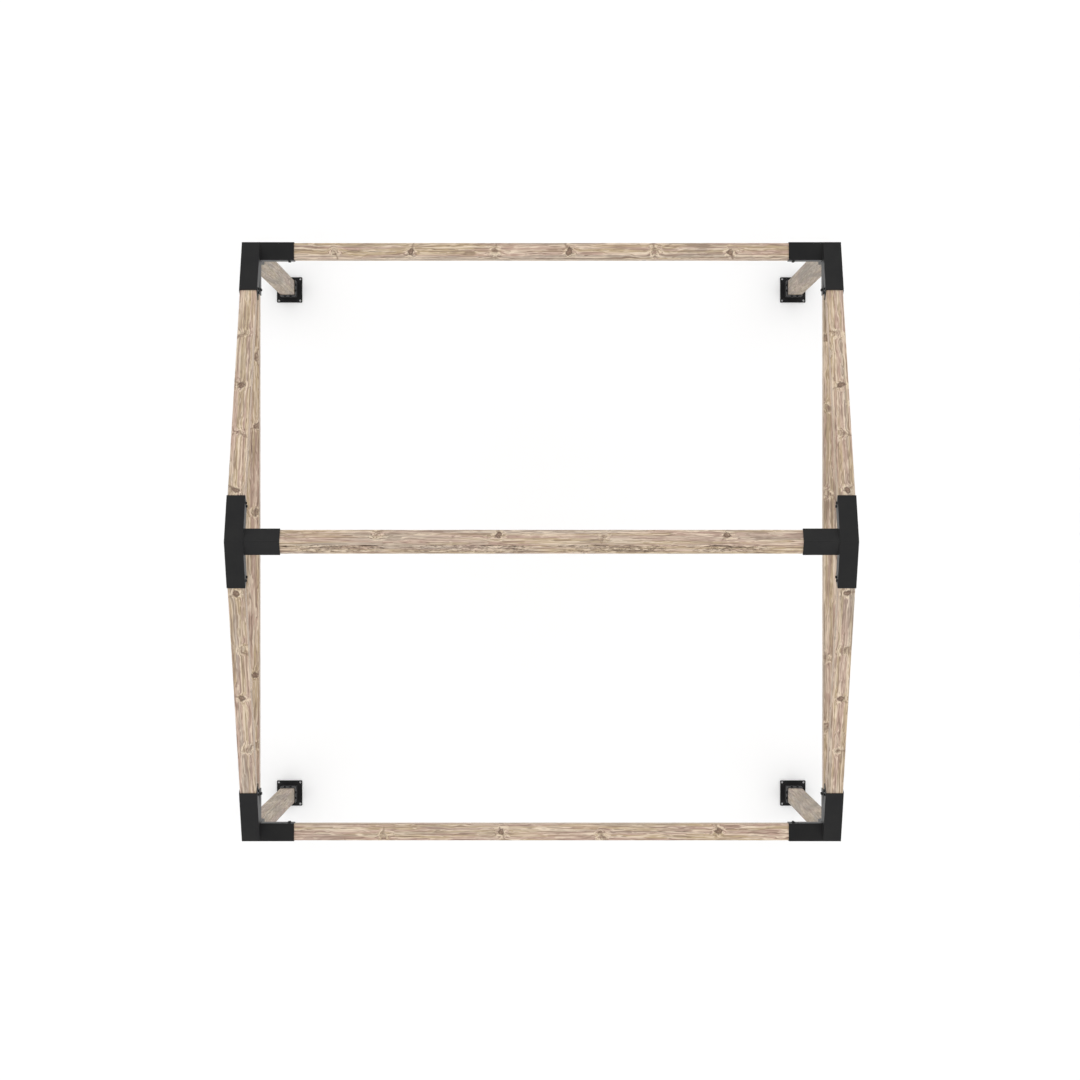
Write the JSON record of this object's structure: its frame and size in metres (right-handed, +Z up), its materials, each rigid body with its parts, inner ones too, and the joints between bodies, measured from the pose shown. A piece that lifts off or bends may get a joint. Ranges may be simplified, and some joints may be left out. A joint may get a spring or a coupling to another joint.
{
  "type": "gable-roofed timber frame",
  "caption": "Open gable-roofed frame of square timbers on posts, joined by black steel sleeve brackets with lag screws, with base plates that bolt down.",
  "frame": {"origin": "on the ground, at the middle of the frame", "axes": "+Z up, X along the ridge and eave beams, Y across the ridge"},
  "size_m": [3.3032, 3.3032, 3.4778],
  "materials": {
    "timber": "dry unfinished softwood with streaky light brown grain, knots and fine checks",
    "black_steel": "satin black powder coat",
    "black_fasteners": "semi-gloss black coated steel"
  },
  "bodies": {
    "root": {"base_bracket_back_left": "black_steel", "base_bracket_back_right": "black_steel", "base_bracket_front_left": "black_steel", "base_bracket_front_right": "black_steel", "base_screws_back_left": "black_fasteners", "base_screws_back_right": "black_fasteners", "base_screws_front_left": "black_fasteners", "base_screws_front_right": "black_fasteners", "base_washers_back_left": "black_fasteners", "base_washers_back_right": "black_fasteners", "base_washers_front_left": "black_fasteners", "base_washers_front_right": "black_fasteners", "corner_bracket_back_left": "black_steel", "corner_bracket_back_right": "black_steel", "corner_bracket_front_left": "black_steel", "corner_bracket_front_right": "black_steel", "corner_screws_back_left": "black_fasteners", "corner_screws_back_right": "black_fasteners", "corner_screws_front_left": "black_fasteners", "corner_screws_front_right": "black_fasteners", "corner_washers_back_left": "black_fasteners", "corner_washers_back_right": "black_fasteners", "corner_washers_front_left": "black_fasteners", "corner_washers_front_right": "black_fasteners", "eave_beam_back": "timber", "eave_beam_front": "timber", "post_back_left": "timber", "post_back_right": "timber", "post_front_left": "timber", "post_front_right": "timber", "rafter_back_left": "timber", "rafter_back_right": "timber", "rafter_front_left": "timber", "rafter_front_right": "timber", "ridge_beam": "timber", "ridge_bracket_left": "black_steel", "ridge_bracket_right": "black_steel", "ridge_screws_left": "black_fasteners", "ridge_screws_right": "black_fasteners", "ridge_washers_left": "black_fasteners", "ridge_washers_right": "black_fasteners", "tie_beam_left": "timber", "tie_beam_right": "timber"}
  },
  "joints": []
}
